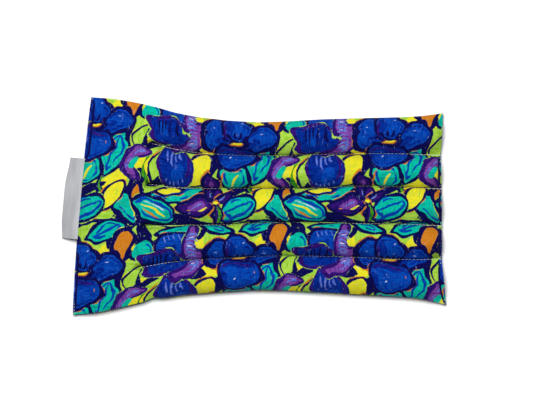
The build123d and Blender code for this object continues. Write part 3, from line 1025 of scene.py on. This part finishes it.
# ---- the label: a ribbon folded end to end, its ends sewn into the header's seam ----
LABEL_LENGTH = 52.5
LABEL_CUT = 33.0  # the ribbon's length before it is folded
LABEL_TAIL = 4.5  # how far inside the seam its two ends lie
FOLD_RADIUS = 0.45  # half the space between its two layers
LABEL_DROP = math.radians(9)  # it leaves the seam at this angle
LABEL_CURL = 0.03  # how quickly it bends down after that, per millimetre
# its upper and lower corner: how much more quickly, and from which share of its length
CORNER_CURLS = ((1, 0.05, 0.1), (-1, 0.03, 0.25))
LABEL_STEPS = 32
CROWDING = 1.4  # draws those steps together at the fold


def label_path(place):
    """How far out and how far up the ribbon is, at a length along it from its fold."""
    reach = LABEL_CUT / 2 - LABEL_TAIL
    side, place = math.copysign(1, place), abs(place)
    turn = min(place / FOLD_RADIUS, math.pi / 2)
    straight = max(place - FOLD_RADIUS * math.pi / 2, 0.0)
    out = reach - FOLD_RADIUS * (1 - math.cos(turn)) - straight
    return out, side * FOLD_RADIUS * math.sin(turn)


def bent_down(out, up, curl):
    """The same point once the ribbon curls down from the seam."""
    if out <= 0:
        return out * math.cos(LABEL_DROP), up - out * math.sin(LABEL_DROP)
    angle = LABEL_DROP + curl * out
    far = (math.sin(angle) - math.sin(LABEL_DROP)) / curl
    low = (math.cos(LABEL_DROP) - math.cos(angle)) / curl
    return far + up * math.sin(angle), up * math.cos(angle) - low


def add_label(finish):
    hinge = next(joint for joint in frame["joints"] if joint["name"] == "label_flap")
    seam, along = np.array(hinge["pos_m"]) / MM, np.array(hinge["axis"])
    outward = np.cross(along, (0, 0, -1))
    points, places = [], []
    for across in np.linspace(-0.5, 0.5, LABEL_STEPS + 1):
        curl = LABEL_CURL + sum(more * float(eased(side * across, start, 0.5))
                                for side, more, start in CORNER_CURLS)
        for step in np.linspace(-1, 1, 2 * LABEL_STEPS + 1):
            place = LABEL_CUT / 2 * math.copysign(abs(step) ** CROWDING, step)
            out, up = bent_down(*label_path(place), curl)
            points.append(seam + along * across * LABEL_LENGTH + outward * out + (0, 0, up))
            places.append((place, across * LABEL_LENGTH))
    ids = np.arange(len(points)).reshape(LABEL_STEPS + 1, -1)
    label = mesh_object("side_ribbon", points, grid_faces(ids))
    set_cloth_place(label.data, *np.array(places).T)
    label.data.materials.append(finish)
    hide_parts("side_label", "side_label_tail")
    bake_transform(label)


# ---- the pillow ----
def add_panels(sack, settled, flat, front_ids, back_ids):
    fills = [f"channel_fill_{k}" for k in range(1, CHANNELS + 1)]
    for side, ids, filling in (("front", front_ids, ("header_fill", *fills)),
                               ("back", back_ids, ())):
        piece = add_panel(f"{side}_cloth", sack, settled, flat, ids, turned=side == "back")
        piece.data.materials.append(printed_cotton(f"{side}_cotton"))
        stand_for(piece, f"{side}_cloth", f"{side}_panel", *filling)


def add_stitching(sack, settled, ids):
    finish = spun_thread("stitching_thread", linear(232, 229, 216), linear(206, 202, 186))
    for k in range(1, CHANNELS):
        row = k * sack.per_channel
        path = settled[ids[sack.sewn[:, row], row]]
        for side, node, outward in (("front", "needle", 1), ("back", "bobbin", -1)):
            piece = add_stitch_line(f"{side}_stitches_{k}", path, outward, finish)
            stand_for(piece, "stitching", f"{node}_thread_{k}")


def add_seam_threads(settled, ids):
    finish = spun_thread("joining_thread", linear(206, 202, 190), linear(176, 172, 160))
    for name, seam, inward in (("upper", ids[:, 0], (0, -1)), ("lower", ids[:, -1], (0, 1)),
                               ("closing", ids[0], (1, 0)), ("far", ids[-1], (-1, 0))):
        piece = add_seam_stitches(f"{name}_seam_stitches", settled[seam], inward, finish)
        stand_for(piece, "seam_thread", f"{name}_seam_thread")


def add_pillow():
    sack = Sack(ROWS_PER_CHANNEL)
    points, flat, pins, front_ids, back_ids = sack.joined()
    faces = np.vstack([grid_faces(front_ids), grid_faces(back_ids, turned=True)])
    settled = blow_up(points, flat, pins, faces)
    settled = pinched(settled, sack, front_ids, back_ids)
    settled = laid_down(folded(settled, sack, front_ids))
    add_panels(sack, settled, flat, front_ids, back_ids)
    add_stitching(sack, settled, front_ids)
    add_seam_threads(settled, front_ids)


# ---- the stage ----
LOOK_AT = (7.7, 2.3, 8.0)  # the middle of the view
VIEW_WIDTH = 344.9  # how much of the table it spans
CAMERA_HEIGHT = 2200.0
FLOOR_HALF = 3000.0
LIGHT_PLACE, LIGHT_SIZE = (-0.2, 0.5, 1.8), 0.8  # in metres
LIGHT_WATTS = 44
ROOM_LIGHT = 0.05


def add_camera():
    data = bpy.data.cameras.new("camera")
    data.lens = data.sensor_width * CAMERA_HEIGHT / VIEW_WIDTH
    camera = added("camera", data)
    camera.location = Vector(LOOK_AT) * MM + Vector((0, 0, CAMERA_HEIGHT * MM))
    bpy.context.scene.camera = camera


def add_softbox():
    """A square soft light that faces the pillow."""
    data = bpy.data.lights.new("softbox", "AREA")
    data.energy = LIGHT_WATTS
    data.size = LIGHT_SIZE
    light = added("softbox", data)
    light.location = LIGHT_PLACE
    light.rotation_euler = (-Vector(LIGHT_PLACE)).to_track_quat("-Z", "Y").to_euler()


def add_floor():
    corners = [(x, y, 0) for x in (-FLOOR_HALF, FLOOR_HALF) for y in (-FLOOR_HALF, FLOOR_HALF)]
    floor = mesh_object("floor", corners, [(0, 2, 3, 1)])
    paper = Finish("paper").shaded(Base_Color=linear(250, 250, 250), Roughness=0.9)
    floor.data.materials.append(paper)


def add_world():
    world = bpy.data.worlds.new("white_room")
    world.use_nodes = True
    background = world.node_tree.nodes["Background"].inputs
    background["Color"].default_value = (1, 1, 1, 1)
    background["Strength"].default_value = ROOM_LIGHT
    bpy.context.scene.world = world


add_pillow()
add_label(satin_ribbon("label_satin"))
add_camera()
add_floor()
add_world()
add_softbox()
bpy.context.scene.view_settings.view_transform = "Standard"
